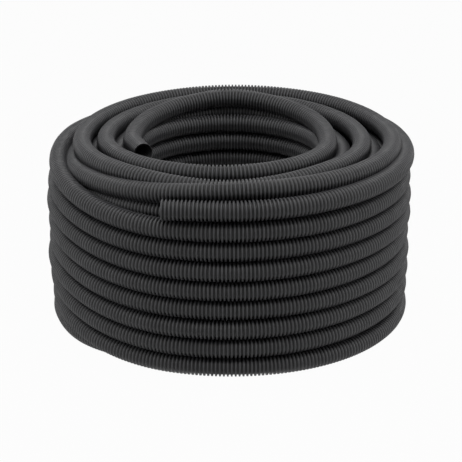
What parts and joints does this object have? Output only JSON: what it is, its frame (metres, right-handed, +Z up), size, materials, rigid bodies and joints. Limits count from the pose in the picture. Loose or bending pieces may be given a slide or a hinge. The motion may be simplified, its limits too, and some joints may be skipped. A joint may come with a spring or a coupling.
{
  "type": "coil of corrugated conduit",
  "caption": "Coil of black flexible corrugated plastic conduit standing on its end, with an open middle and both tube ends free on top, for running cables.",
  "frame": {"origin": "on the floor, at the middle of the coil", "axes": "+Z up along the coil's axis; -Y is the front, where the outer end lies; +X to the right seen from the front"},
  "size_m": [0.4819, 0.4809, 0.2663],
  "materials": {
    "conduit_plastic": "satin moulded"
  },
  "bodies": {
    "root": {"conduit": "conduit_plastic"}
  },
  "joints": []
}
